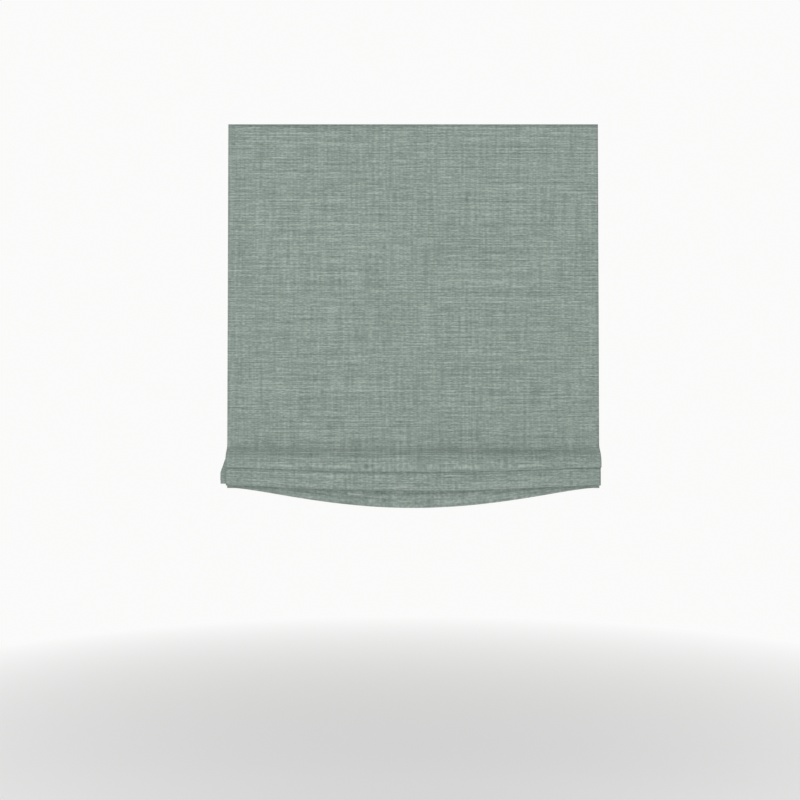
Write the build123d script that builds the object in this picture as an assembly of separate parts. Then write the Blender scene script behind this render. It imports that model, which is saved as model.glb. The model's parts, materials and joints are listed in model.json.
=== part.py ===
"""Relaxed Roman window shade with a cordless spring lift, every physical piece a solid of its own.

Lengths are in mm. The origin is on the window head, midway between the two brackets; +Z is up and
the shade's face looks along -Y. The shade hangs partly raised, with its folds gathered at the bottom.
"""
import math
import os

from build123d import *

# Cloth as seen from the front
SHADE_WIDTH = 900.0
CLOTH_TOP_DROP = 2.5
CREASE_DROP = 787.0
FRONT_FOLD_HANG = 49.0
SECOND_FOLD_SHOWING = 43.0
HIDDEN_FOLD_RISE = 4.0
HEM_SHOWING = 7.0
FRONT_FOLD_SAG = 11.0
SECOND_FOLD_SAG = 13.0
HEM_SAG = 48.0
SAG_HALF_WIDTH_SHARE = 0.48
SAG_POWER = 1.35
STATION_SHARES = (-1.0, -0.9, -0.667, -0.333, 0.0, 0.333, 0.667, 0.9, 1.0)

# Cloth layers and how they are folded
FACE_THICKNESS = 1.0
LINING_THICKNESS = 0.6
LAYER_CLEARANCE = 0.2
LINING_SIDE_INSET = 25.0
HEM_TURN_UP = 24.0
HEM_TUCK = 10.0
LEG_PITCH = 3.4
FRONT_FOLD_WIDTH = 8.2
SECOND_FOLD_WIDTH = 6.0
RING_STEP = 11.0
RING_TURN_HEIGHT = 4.0
RUN_SLOPE_SHARE = 0.7
CREASE_RADIUS = 8.0
FRONT_ROLL_RADIUS = 20.0
LEG_TOP_RADIUS = 3.0
RING_TURN_RADIUS = 1.5
LEG_BOTTOM_RADIUS_SHARE = 0.465

# Headrail, an open-topped aluminium channel
HEADRAIL_HEIGHT = 34.0
HEADRAIL_WALL = 1.5
HEADRAIL_TOP_DROP = 5.0
HEADRAIL_END_INSET = 3.0
LIP_WIDTH = 8.0
HEADRAIL_CORNER_RADIUS = 1.2
TRACK_RIB_HEIGHT = 1.2
TRACK_RIB_THICKNESS = 1.2

# Touch tape between headrail and cloth
TAPE_HEIGHT = 25.0
TAPE_THICKNESS = 1.4
TAPE_TOP_DROP = 9.0
TAPE_END_INSET = 6.0
TAPE_CLOTH_CLEARANCE = 0.1

# End caps
CAP_THICKNESS = 2.0
CAP_PLUG_DEPTH = 9.0
CAP_PLUG_WALL = 1.6
CAP_PLUG_CLEARANCE = 0.15

# Mounting brackets with their swivel locks
BRACKET_END_INSET = 120.0
BRACKET_LENGTH = 40.0
BRACKET_DEPTH = 36.0
BRACKET_THICKNESS = 1.6
BRACKET_CORNER_RADIUS = 3.0
BRACKET_HOLE_RADIUS = 2.5
BRACKET_HOLE_SPACING = 20.0
BRACKET_HOLE_OFFSET = 10.0
HOOK_WIDTH = 16.0
HOOK_REACH = 5.5
HOOK_LIP_CLEARANCE = 0.3
HOOK_OPENING_CLEARANCE = 0.6
LOCK_PIVOT_Y = 8.0
LOCK_PIVOT_OFFSET = 7.0
LOCK_HUB_RADIUS = 5.5
LOCK_HANDLE_LENGTH = 26.0
LOCK_HANDLE_WIDTH = 8.0
LOCK_HANDLE_THICKNESS = 1.6
LOCK_HANDLE_CLEARANCE = 1.0
LOCK_CAM_REACH = 12.5
LOCK_CAM_THICKNESS = 2.5
RIVET_RADIUS = 2.4
RIVET_HEAD_RADIUS = 4.5
RIVET_HEAD_THICKNESS = 1.2
RIVET_RECESS = 0.1
RIVET_SEAT_CLEARANCE = 0.05
RIVET_HEAD_CLEARANCE = 0.15

# Lift shaft, cord spools and their cradles
SHAFT_DROP = 22.0
SHAFT_ACROSS_FLATS = 5.0
SHAFT_OVERHANG = 6.0
HEX_CLEARANCE = 0.05
RUNNING_CLEARANCE = 0.08
CORD_COLUMN_INSET = 45.0
SPOOL_RADIUS = 7.0
SPOOL_FLANGE_RADIUS = 10.0
SPOOL_FLANGE_THICKNESS = 1.5
SPOOL_LENGTH = 34.0
SPOOL_CONE_LENGTH = 6.0
SPOOL_CONE_RISE = 1.4
JOURNAL_RADIUS = 4.0
JOURNAL_LENGTH = 3.2
CRADLE_WALL = 2.5
CRADLE_BASE_THICKNESS = 1.8
CRADLE_SIDE_CLEARANCE = 0.3
CRADLE_END_CLEARANCE = 0.4
CRADLE_BEARING_RADIUS = 6.5
CRADLE_SNAP_WIDTH = 6.4
NOZZLE_RADIUS = 3.6
NOZZLE_BORE_RADIUS = 1.4
NOZZLE_DROP = 1.0
NOZZLE_CLEARANCE = 0.1

# Lift cords
CORD_RADIUS = 0.45
CORD_WOUND_LENGTH = 13.0
CORD_WRAP_CLEARANCE = 0.06
CORD_WRAP_MARGIN = 0.06
CORD_TAIL = 5.0
KNOT_RADIUS = 1.4

# Spring motor: two geared drums and a steel strip in a split housing
GEAR_MODULE = 1.0
GEAR_TEETH = 18
GEAR_WIDTH = 5.0
GEAR_BACKLASH = 0.16
GEAR_ADDENDUM_SHARE = 1.0
GEAR_DEDENDUM_SHARE = 1.25
GEAR_FLANK_SHARES = (0.0, 0.5, 1.0)
PRESSURE_ANGLE = 20.0
DRUM_FLANGE_RADIUS = 8.4
DRUM_FLANGE_THICKNESS = 1.2
DRIVE_HUB_RADIUS = 5.8
STORAGE_HUB_RADIUS = 4.4
STORAGE_JOURNAL_RADIUS = 3.0
SPRING_WIDTH = 18.0
SPRING_THICKNESS = 0.3
SPRING_SIDE_CLEARANCE = 0.5
SPRING_HUB_CLEARANCE = 0.1
DRIVE_COIL_THICKNESS = 1.0
STORAGE_COIL_THICKNESS = 2.4
MOTOR_WALL = 1.4
MOTOR_CORNER_RADIUS = 1.2
MOTOR_GEAR_CLEARANCE = 0.6
MOTOR_END_CLEARANCE = 0.4
MOTOR_JOURNAL_LENGTH = 1.6
MOTOR_SPLIT_CLEARANCE = 0.05
MOTOR_SIDE_CLEARANCE = 1.5

# Rings, lift bar and cord ends
RING_RADIUS = 7.1
RING_WIRE_RADIUS = 0.9
RING_CLOTH_CLEARANCE = 0.3
RING_PITCH = 190.0
PANEL_RING_ROWS = 3
BAR_HEIGHT = 16.0
BAR_THICKNESS = 2.5
BAR_END_INSET = 10.0
BAR_RING_CLEARANCE = 5.0
BAR_SLEEVE_WALL = 0.5
BAR_SLEEVE_CLEARANCE = 0.15
BAR_SLEEVE_END_INSET = 24.0
BAR_SLEEVE_CLOTH_CLEARANCE = 0.35
PLUG_LENGTH = 12.0
PLUG_WALL = 0.9
PLUG_CLEARANCE = 0.08
PLUG_TIP = 2.0
ORB_RADIUS = 5.0
ORB_BORE_RADIUS = 0.7
ORB_RING_CLEARANCE = 0.4
KNOT_CLEARANCE = 0.3
CUT_OVERRUN = 2.0

# Positions that follow from the sizes above
HALF_WIDTH = SHADE_WIDTH / 2
PAIR_HALF_GAP = LAYER_CLEARANCE / 2
HEM_TURN_WIDTH = LINING_THICKNESS + LAYER_CLEARANCE
FRONT_FOLD_DROP = CREASE_DROP + FRONT_FOLD_HANG
SECOND_FOLD_DROP = FRONT_FOLD_DROP + SECOND_FOLD_SHOWING
THIRD_FOLD_DROP = SECOND_FOLD_DROP - HIDDEN_FOLD_RISE
FOURTH_FOLD_DROP = THIRD_FOLD_DROP - HIDDEN_FOLD_RISE
HEM_DROP = SECOND_FOLD_DROP + HEM_SHOWING
HIDDEN_FOLD_SAG = -(FRONT_FOLD_SAG + SECOND_FOLD_SAG) / 2
FOLDS = (
    (FRONT_FOLD_WIDTH, FRONT_FOLD_DROP, FRONT_FOLD_SAG, FRONT_ROLL_RADIUS),
    (SECOND_FOLD_WIDTH, SECOND_FOLD_DROP, SECOND_FOLD_SAG, LEG_TOP_RADIUS),
    (LEG_PITCH, THIRD_FOLD_DROP, HIDDEN_FOLD_SAG, LEG_TOP_RADIUS),
    (LEG_PITCH, FOURTH_FOLD_DROP, HIDDEN_FOLD_SAG, LEG_TOP_RADIUS),
)
FOLD_RING_DROPS = [CREASE_DROP + (step + 1) * RING_STEP for step in range(len(FOLDS))]
STACK_RING_DROPS = [CREASE_DROP - CREASE_RADIUS, *FOLD_RING_DROPS]
BRACKET_X = HALF_WIDTH - BRACKET_END_INSET
GEAR_PITCH_RADIUS = GEAR_MODULE * GEAR_TEETH / 2
GEAR_TIP_RADIUS = GEAR_PITCH_RADIUS + GEAR_MODULE * GEAR_ADDENDUM_SHARE
SHAFT_Y = -GEAR_PITCH_RADIUS
STORAGE_Y = GEAR_PITCH_RADIUS
MOTOR_ROOM = GEAR_TIP_RADIUS + MOTOR_GEAR_CLEARANCE
MOTOR_HALF_DEPTH = GEAR_PITCH_RADIUS + MOTOR_ROOM + MOTOR_WALL
HEADRAIL_DEPTH = 2 * (MOTOR_HALF_DEPTH + MOTOR_SIDE_CLEARANCE + HEADRAIL_WALL)
HEADRAIL_FRONT = -HEADRAIL_DEPTH / 2
HEADRAIL_HALF_LENGTH = HALF_WIDTH - HEADRAIL_END_INSET
HEADRAIL_BOTTOM = -(HEADRAIL_TOP_DROP + HEADRAIL_HEIGHT)
FLOOR_Z = HEADRAIL_BOTTOM + HEADRAIL_WALL
LIP_UNDER_Z = -(HEADRAIL_TOP_DROP + HEADRAIL_WALL)
INNER_HALF_DEPTH = HEADRAIL_DEPTH / 2 - HEADRAIL_WALL
LIP_EDGE = HEADRAIL_DEPTH / 2 - LIP_WIDTH
CAM_BOTTOM_Z = LIP_UNDER_Z - HOOK_LIP_CLEARANCE - LOCK_CAM_THICKNESS
LINING_BACK_Y = HEADRAIL_FRONT - 2 * TAPE_THICKNESS - TAPE_CLOTH_CLEARANCE
PANEL_Y = LINING_BACK_Y - LINING_THICKNESS - PAIR_HALF_GAP
CORD_X = HALF_WIDTH - CORD_COLUMN_INSET
SHAFT_Z = -SHAFT_DROP
WRAP_RADIUS = SPOOL_RADIUS + CORD_WRAP_CLEARANCE + CORD_WRAP_MARGIN + CORD_RADIUS
CORD_Y = SHAFT_Y - WRAP_RADIUS
RING_Y = LINING_BACK_Y + RING_CLOTH_CLEARANCE + RING_RADIUS + RING_WIRE_RADIUS
LAST_RING_Z = -STACK_RING_DROPS[-1]
BAR_TOP_Z = LAST_RING_Z - RING_WIRE_RADIUS - BAR_RING_CLEARANCE
BAR_Z = BAR_TOP_Z - BAR_HEIGHT / 2
SLEEVE_FRONT_Y = LINING_BACK_Y + BAR_SLEEVE_CLOTH_CLEARANCE
BAR_Y = SLEEVE_FRONT_Y + BAR_SLEEVE_WALL + BAR_SLEEVE_CLEARANCE + BAR_THICKNESS / 2
BAR_HALF_LENGTH = HALF_WIDTH - BAR_END_INSET
ORB_Z = LAST_RING_Z - RING_WIRE_RADIUS - ORB_RING_CLEARANCE - ORB_RADIUS
KNOT_Z = ORB_Z - ORB_RADIUS - KNOT_CLEARANCE - KNOT_RADIUS
SIDES = {"left": -1, "right": 1}


def span(y0, y1, z0, z1):
    """A rectangle in a section across the shade, from its four sides."""
    return Pos((y0 + y1) / 2, (z0 + z1) / 2) * Rectangle(abs(y1 - y0), abs(z1 - z0))


def along(outline, start, end):
    """A section across the shade, drawn out along X from start to end."""
    return extrude(Plane.YZ.offset(start) * outline, end - start)


def flat(outline, bottom, top):
    """A level outline drawn up from one height to another."""
    return extrude(Pos(0, 0, bottom) * outline, top - bottom)


def disc(radius, y, z, start, end):
    """A round bar along X."""
    return along(Pos(y, z) * Circle(radius), start, end)


def hexagon(across_flats):
    """The section of the lift shaft or of a hole for it."""
    return Pos(SHAFT_Y, SHAFT_Z) * RegularPolygon(across_flats / 2, 6, major_radius=False)


# Cloth
def sag_share(x):
    """How far the folds droop at x, as a share of their droop in the middle."""
    across = x / (SAG_HALF_WIDTH_SHARE * SHADE_WIDTH)
    return max(0.0, 1 - across * across) ** SAG_POWER


def fold_path(x, turned_up):
    """Corner points and radii of the folded cloth at x: down to a turned-up hem, or ending inside that hem."""
    sag = sag_share(x)
    points = [(PANEL_Y, -CLOTH_TOP_DROP), (PANEL_Y, -CREASE_DROP)]
    radii = [CREASE_RADIUS]
    depth = sum(fold[0] + LEG_PITCH for fold in FOLDS)
    start_z = -CREASE_DROP
    for number, (width, drop, droop, top_radius) in enumerate(FOLDS):
        front = PANEL_Y - depth
        back = front + width
        bottom = -(drop + sag * droop)
        ring_z = -FOLD_RING_DROPS[number]
        points += [(front, start_z - RUN_SLOPE_SHARE * depth), (front, bottom), (back, bottom)]
        radii += [top_radius, width * LEG_BOTTOM_RADIUS_SHARE, width * LEG_BOTTOM_RADIUS_SHARE]
        depth -= width
        if number < len(FOLDS) - 1:
            upper = ring_z + RING_TURN_HEIGHT / 2
            start_z = ring_z - RING_TURN_HEIGHT / 2
            points += [(back, upper - RUN_SLOPE_SHARE * depth), (PANEL_Y, upper), (PANEL_Y, start_z)]
            radii += [LEG_TOP_RADIUS, RING_TURN_RADIUS, RING_TURN_RADIUS]
        else:
            points += [(back, ring_z), (PANEL_Y, ring_z)]
            radii += [LEG_PITCH * LEG_BOTTOM_RADIUS_SHARE] * 2
        depth -= LEG_PITCH
    hem_z = -(HEM_DROP + sag * HEM_SAG)
    if turned_up:
        behind = PANEL_Y + HEM_TURN_WIDTH
        points += [(PANEL_Y, hem_z), (behind, hem_z), (behind, hem_z + HEM_TURN_UP)]
        radii += [HEM_TURN_WIDTH * LEG_BOTTOM_RADIUS_SHARE] * 2
    else:
        points.append((PANEL_Y, hem_z + HEM_TURN_UP - HEM_TUCK))
    return points, radii


def parallel(points, radii, distance):
    """The same path shifted sideways, to its right for a positive distance."""
    directions = []
    for (y0, z0), (y1, z1) in zip(points, points[1:]):
        length = math.hypot(y1 - y0, z1 - z0)
        directions.append(((y1 - y0) / length, (z1 - z0) / length))
    moved = []
    new_radii = []
    for index, (y, z) in enumerate(points):
        before = directions[max(index - 1, 0)]
        after = directions[min(index, len(directions) - 1)]
        turn = before[0] * after[1] - before[1] * after[0]
        scale = distance / (1 + before[0] * after[0] + before[1] * after[1])
        moved.append((y + scale * (before[1] + after[1]), z - scale * (before[0] + after[0])))
        if 0 < index < len(points) - 1:
            new_radii.append(radii[index - 1] + distance * math.copysign(1, turn))
    return moved, new_radii


def cloth_section(x, near, far, turned_up):
    """The cut face of one cloth layer at x, between two distances from the fold path."""
    points, radii = fold_path(x, turned_up)
    sides = []
    for distance in (near, far):
        moved, bends = parallel(points, radii, distance)
        sides.append(FilletPolyline(*moved, radius=bends))
    ends = [Line(sides[0] @ 1, sides[1] @ 1), Line(sides[1] @ 0, sides[0] @ 0)]
    outline = Wire([*sides[0].edges(), ends[0], *sides[1].edges(), ends[1]])
    return Plane.YZ.offset(x) * Face(outline)


def cloth_layer(half_width, near, far, turned_up):
    """One layer of cloth through all the stations across the shade."""
    return loft([cloth_section(share * half_width, near, far, turned_up) for share in STATION_SHARES])


def face_fabric():
    return cloth_layer(HALF_WIDTH, PAIR_HALF_GAP, PAIR_HALF_GAP + FACE_THICKNESS, True)


def lining():
    half_width = HALF_WIDTH - LINING_SIDE_INSET
    return cloth_layer(half_width, -PAIR_HALF_GAP, -PAIR_HALF_GAP - LINING_THICKNESS, False)


# Headrail and its fixings
def headrail():
    half = HEADRAIL_DEPTH / 2
    top = -HEADRAIL_TOP_DROP
    outline = fillet(span(-half, half, HEADRAIL_BOTTOM, top).vertices(), HEADRAIL_CORNER_RADIUS)
    outline -= span(-INNER_HALF_DEPTH, INNER_HALF_DEPTH, FLOOR_Z, LIP_UNDER_Z)
    outline -= span(-LIP_EDGE, LIP_EDGE, LIP_UNDER_Z, top)
    tape_top = -TAPE_TOP_DROP
    tape_bottom = tape_top - TAPE_HEIGHT
    rib_front = HEADRAIL_FRONT - TRACK_RIB_HEIGHT
    outline += span(rib_front, HEADRAIL_FRONT, tape_top, tape_top + TRACK_RIB_THICKNESS)
    outline += span(rib_front, HEADRAIL_FRONT, tape_bottom - TRACK_RIB_THICKNESS, tape_bottom)
    rail = along(outline, -HEADRAIL_HALF_LENGTH, HEADRAIL_HALF_LENGTH)
    for side in SIDES.values():
        hole = Pos(side * CORD_X, CORD_Y) * Circle(NOZZLE_RADIUS + NOZZLE_CLEARANCE)
        rail -= flat(hole, HEADRAIL_BOTTOM - CUT_OVERRUN, FLOOR_Z + CUT_OVERRUN)
    return rail


def tape(back_y):
    """One half of the touch tape, its back at back_y."""
    outline = span(back_y - TAPE_THICKNESS, back_y, -TAPE_TOP_DROP - TAPE_HEIGHT, -TAPE_TOP_DROP)
    half = HEADRAIL_HALF_LENGTH - TAPE_END_INSET
    return along(outline, -half, half)


def end_cap(side):
    half = HEADRAIL_DEPTH / 2
    plate = fillet(span(-half, half, HEADRAIL_BOTTOM, -HEADRAIL_TOP_DROP).vertices(), HEADRAIL_CORNER_RADIUS)
    inner = INNER_HALF_DEPTH - CAP_PLUG_CLEARANCE
    plug = span(-inner, inner, FLOOR_Z + CAP_PLUG_CLEARANCE, LIP_UNDER_Z - CAP_PLUG_CLEARANCE)
    hollow = offset(plug, -CAP_PLUG_WALL, kind=Kind.INTERSECTION)
    outer_x = side * (HEADRAIL_HALF_LENGTH + CAP_THICKNESS)
    face_x = side * HEADRAIL_HALF_LENGTH
    inner_x = side * (HEADRAIL_HALF_LENGTH - CAP_PLUG_DEPTH)
    cap = along(plate, min(outer_x, face_x), max(outer_x, face_x))
    return cap + along(plug - hollow, min(face_x, inner_x), max(face_x, inner_x))


def lock_pivot(side):
    """Where a bracket's lock turns."""
    return Pos(side * (BRACKET_X - LOCK_PIVOT_OFFSET), LOCK_PIVOT_Y)


def bracket(side):
    """Steel bracket: a plate against the window head, and a hook under the headrail's front lip."""
    x = side * BRACKET_X
    plate = Pos(x, 0) * RectangleRounded(BRACKET_LENGTH, BRACKET_DEPTH, BRACKET_CORNER_RADIUS)
    hole_x = x + side * BRACKET_HOLE_OFFSET
    for end in SIDES.values():
        plate -= Pos(hole_x, end * BRACKET_HOLE_SPACING / 2) * Circle(BRACKET_HOLE_RADIUS)
    plate -= lock_pivot(side) * Circle(RIVET_RADIUS + RIVET_SEAT_CLEARANCE)
    drop_front = -LIP_EDGE + HOOK_OPENING_CLEARANCE
    hook_top = LIP_UNDER_Z - HOOK_LIP_CLEARANCE
    hook_bottom = hook_top - BRACKET_THICKNESS
    hook = span(drop_front, drop_front + BRACKET_THICKNESS, hook_bottom, -BRACKET_THICKNESS)
    hook += span(-LIP_EDGE - HOOK_REACH, drop_front + BRACKET_THICKNESS, hook_bottom, hook_top)
    return flat(plate, -BRACKET_THICKNESS, 0) + along(hook, x - HOOK_WIDTH / 2, x + HOOK_WIDTH / 2)


def bracket_lock(side):
    """Swivel lock of a bracket: thumb handle above the lip, cam below it, on one hub."""
    handle_top = -(BRACKET_THICKNESS + LOCK_HANDLE_CLEARANCE)
    pivot = lock_pivot(side)
    straight = LOCK_HANDLE_LENGTH - LOCK_HANDLE_WIDTH / 2
    handle = Pos(-side * straight / 2, 0) * Rectangle(straight, LOCK_HANDLE_WIDTH)
    handle += Pos(-side * straight, 0) * Circle(LOCK_HANDLE_WIDTH / 2)
    cam_tip = LOCK_HUB_RADIUS / 2
    cam = make_hull((Circle(LOCK_HUB_RADIUS) + Pos(0, LOCK_CAM_REACH - cam_tip) * Circle(cam_tip)).edges())
    lock = flat(pivot * handle, handle_top - LOCK_HANDLE_THICKNESS, handle_top)
    lock += flat(pivot * Circle(LOCK_HUB_RADIUS), CAM_BOTTOM_Z, handle_top)
    lock += flat(pivot * cam, CAM_BOTTOM_Z, CAM_BOTTOM_Z + LOCK_CAM_THICKNESS)
    bore = pivot * Circle(RIVET_RADIUS + RUNNING_CLEARANCE)
    return lock - flat(bore, CAM_BOTTOM_Z - CUT_OVERRUN, handle_top + CUT_OVERRUN)


def bracket_rivet(side):
    """Rivet that holds a lock to its bracket."""
    head_top = CAM_BOTTOM_Z - RIVET_HEAD_CLEARANCE
    pivot = lock_pivot(side)
    pin = flat(pivot * Circle(RIVET_RADIUS), head_top, -RIVET_RECESS)
    return pin + flat(pivot * Circle(RIVET_HEAD_RADIUS), head_top - RIVET_HEAD_THICKNESS, head_top)


# Lift shaft, spools and cradles
def cradle_half_length():
    return SPOOL_LENGTH / 2 + SPOOL_FLANGE_THICKNESS + CRADLE_END_CLEARANCE + CRADLE_WALL


def lift_shaft():
    half = CORD_X + cradle_half_length() + SHAFT_OVERHANG
    return along(hexagon(SHAFT_ACROSS_FLATS), -half, half)


def spool(side):
    """Cord spool: two flanges, a starting cone at the outer end, and a journal at each end."""
    half = SPOOL_LENGTH / 2
    flange = half + SPOOL_FLANGE_THICKNESS
    end = flange + JOURNAL_LENGTH
    profile = Polygon(
        (-end, 0), (-end, JOURNAL_RADIUS), (-flange, JOURNAL_RADIUS), (-flange, SPOOL_FLANGE_RADIUS),
        (-half, SPOOL_FLANGE_RADIUS), (-half, SPOOL_RADIUS), (half - SPOOL_CONE_LENGTH, SPOOL_RADIUS),
        (half, SPOOL_RADIUS + SPOOL_CONE_RISE), (half, SPOOL_FLANGE_RADIUS), (flange, SPOOL_FLANGE_RADIUS),
        (flange, JOURNAL_RADIUS), (end, JOURNAL_RADIUS), (end, 0), align=None)
    body = revolve(profile, Axis.X)
    if side < 0:
        body = mirror(body, Plane.YZ)
    body = Pos(side * CORD_X, SHAFT_Y, SHAFT_Z) * body
    reach = end + CUT_OVERRUN
    return body - along(hexagon(SHAFT_ACROSS_FLATS + 2 * HEX_CLEARANCE), side * CORD_X - reach,
                        side * CORD_X + reach)


def spool_cradle(side):
    """Cradle on the headrail's floor: two snap-in bearings and a nozzle for the cord."""
    x = side * CORD_X
    half = cradle_half_length()
    base_top = FLOOR_Z + CRADLE_BASE_THICKNESS
    reach = INNER_HALF_DEPTH - CRADLE_SIDE_CLEARANCE
    cradle = along(span(-reach, reach, FLOOR_Z, base_top), x - half, x + half)
    bearing = Pos(SHAFT_Y, SHAFT_Z) * Circle(CRADLE_BEARING_RADIUS)
    bearing += span(SHAFT_Y - CRADLE_BEARING_RADIUS, SHAFT_Y + CRADLE_BEARING_RADIUS, FLOOR_Z, SHAFT_Z)
    bearing -= Pos(SHAFT_Y, SHAFT_Z) * Circle(JOURNAL_RADIUS + RUNNING_CLEARANCE)
    snap = CRADLE_SNAP_WIDTH / 2
    bearing -= span(SHAFT_Y - snap, SHAFT_Y + snap, SHAFT_Z, SHAFT_Z + CRADLE_BEARING_RADIUS + CUT_OVERRUN)
    for end in SIDES.values():
        outer = x + end * half
        inner = x + end * (half - CRADLE_WALL)
        cradle += along(bearing, min(outer, inner), max(outer, inner))
    nozzle = Pos(x, CORD_Y) * Circle(NOZZLE_RADIUS)
    bore = Pos(x, CORD_Y) * Circle(NOZZLE_BORE_RADIUS)
    cradle += flat(nozzle, HEADRAIL_BOTTOM - NOZZLE_DROP, base_top)
    return cradle - flat(bore, HEADRAIL_BOTTOM - NOZZLE_DROP - CUT_OVERRUN, base_top + CUT_OVERRUN)


def lift_cord(side):
    """Cord from its turns on the spool, straight down through the rings, to a knot under the orb."""
    x = side * CORD_X
    inner = SPOOL_RADIUS + CORD_WRAP_CLEARANCE
    outer = inner + 2 * (CORD_RADIUS + CORD_WRAP_MARGIN)
    turns = Pos(SHAFT_Y, SHAFT_Z) * (Circle(outer) - Circle(inner))
    end = x - side * CORD_WOUND_LENGTH
    start = x + side * (CORD_RADIUS + CORD_WRAP_MARGIN)
    cord = along(turns, min(start, end), max(start, end))
    cord += flat(Pos(x, CORD_Y) * Circle(CORD_RADIUS), KNOT_Z - CORD_TAIL, SHAFT_Z)
    return cord + Pos(x, CORD_Y, KNOT_Z) * Sphere(KNOT_RADIUS)


# Spring motor
def gear_outline(first_angle):
    """Gear with involute teeth as flat facets, one tooth centred on first_angle (degrees)."""
    pressure = math.radians(PRESSURE_ANGLE)
    base = GEAR_PITCH_RADIUS * math.cos(pressure)
    root = GEAR_PITCH_RADIUS - GEAR_MODULE * GEAR_DEDENDUM_SHARE
    low = max(base, root)
    half_tooth = math.pi / (2 * GEAR_TEETH) - GEAR_BACKLASH / (2 * GEAR_PITCH_RADIUS)
    at_pitch = math.tan(pressure) - pressure
    flank = [(root, half_tooth + at_pitch)]
    for share in GEAR_FLANK_SHARES:
        radius = low + share * (GEAR_TIP_RADIUS - low)
        roll = math.sqrt(max(0.0, (radius / base) ** 2 - 1))
        flank.append((radius, half_tooth + at_pitch - (roll - math.atan(roll))))
    points = []
    for tooth in range(GEAR_TEETH):
        middle = math.radians(first_angle) + 2 * math.pi * tooth / GEAR_TEETH
        for radius, angle in flank:
            points.append((radius * math.cos(middle - angle), radius * math.sin(middle - angle)))
        for radius, angle in reversed(flank):
            points.append((radius * math.cos(middle + angle), radius * math.sin(middle + angle)))
    return Polygon(*points, align=None)


def motor_inner_half():
    return (GEAR_WIDTH + 2 * DRUM_FLANGE_THICKNESS + SPRING_WIDTH) / 2 + SPRING_SIDE_CLEARANCE


def motor_outer_half():
    return motor_inner_half() + MOTOR_END_CLEARANCE + MOTOR_WALL


def spring_start():
    """Where the spring's room starts along X, beside the gear and the first flange."""
    return -motor_inner_half() + GEAR_WIDTH + DRUM_FLANGE_THICKNESS


def drum(y, hub_radius, journal_radius, first_angle):
    """A geared drum along X: journals, gear, two flanges and a hub for the spring."""
    half = motor_inner_half()
    journal = half + MOTOR_END_CLEARANCE + MOTOR_JOURNAL_LENGTH
    body = disc(journal_radius, y, SHAFT_Z, -journal, journal)
    body += disc(hub_radius, y, SHAFT_Z, -half, half)
    body += along(Pos(y, SHAFT_Z) * gear_outline(first_angle), -half, -half + GEAR_WIDTH)
    flange_end = spring_start()
    body += disc(DRUM_FLANGE_RADIUS, y, SHAFT_Z, -half + GEAR_WIDTH, flange_end)
    return body + disc(DRUM_FLANGE_RADIUS, y, SHAFT_Z, half - DRUM_FLANGE_THICKNESS, half)


def drive_drum():
    reach = motor_outer_half() + JOURNAL_LENGTH + CUT_OVERRUN
    bore = along(hexagon(SHAFT_ACROSS_FLATS + 2 * HEX_CLEARANCE), -reach, reach)
    return drum(SHAFT_Y, DRIVE_HUB_RADIUS, JOURNAL_RADIUS, 0) - bore


def storage_drum():
    return drum(STORAGE_Y, STORAGE_HUB_RADIUS, STORAGE_JOURNAL_RADIUS, 180 + 180 / GEAR_TEETH)


def spring_strip():
    """Steel strip: a coil on each drum, and the stretch that crosses between them."""
    drive = DRIVE_HUB_RADIUS + SPRING_HUB_CLEARANCE
    storage = STORAGE_HUB_RADIUS + SPRING_HUB_CLEARANCE
    coils = Pos(SHAFT_Y, SHAFT_Z) * (Circle(drive + DRIVE_COIL_THICKNESS) - Circle(drive))
    coils += Pos(STORAGE_Y, SHAFT_Z) * (Circle(storage + STORAGE_COIL_THICKNESS) - Circle(storage))
    drive_reach = drive + DRIVE_COIL_THICKNESS - SPRING_THICKNESS / 2
    storage_reach = storage + STORAGE_COIL_THICKNESS - SPRING_THICKNESS / 2
    lean = math.acos((drive_reach + storage_reach) / (STORAGE_Y - SHAFT_Y))
    start = Vector(SHAFT_Y + drive_reach * math.cos(lean), SHAFT_Z - drive_reach * math.sin(lean))
    end = Vector(STORAGE_Y - storage_reach * math.cos(lean), SHAFT_Z + storage_reach * math.sin(lean))
    middle = (start + end) * (1 / 2)
    angle = math.degrees(math.atan2(end.Y - start.Y, end.X - start.X))
    stretch = Rectangle((end - start).length, SPRING_THICKNESS)
    coils += Pos(middle.X, middle.Y) * Rot(0, 0, angle) * stretch
    begin = spring_start() + SPRING_SIDE_CLEARANCE
    return along(coils, begin, begin + SPRING_WIDTH)


def motor_half(bottom, top, open_top):
    """Half of the motor's housing, open where the halves meet, with half-bearings for both drums."""
    outer = motor_outer_half()
    inner = motor_inner_half() + MOTOR_END_CLEARANCE
    reach = MOTOR_HALF_DEPTH - MOTOR_WALL
    outline = span(-MOTOR_HALF_DEPTH, MOTOR_HALF_DEPTH, bottom, top)
    closed = outline.vertices().group_by(Axis.Y)[0 if open_top else -1]
    shell = along(fillet(closed, MOTOR_CORNER_RADIUS), -outer, outer)
    floor = bottom if open_top else bottom - CUT_OVERRUN - MOTOR_WALL
    roof = top + CUT_OVERRUN + MOTOR_WALL if open_top else top
    shell -= along(span(-reach, reach, floor + MOTOR_WALL, roof - MOTOR_WALL), -inner, inner)
    beyond = outer + CUT_OVERRUN
    shell -= disc(JOURNAL_RADIUS + RUNNING_CLEARANCE, SHAFT_Y, SHAFT_Z, -beyond, beyond)
    return shell - disc(STORAGE_JOURNAL_RADIUS + RUNNING_CLEARANCE, STORAGE_Y, SHAFT_Z, -beyond, beyond)


def motor_tray():
    return motor_half(FLOOR_Z, SHAFT_Z, True)


def motor_cover():
    return motor_half(SHAFT_Z + MOTOR_SPLIT_CLEARANCE, SHAFT_Z + MOTOR_ROOM + MOTOR_WALL, False)


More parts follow.
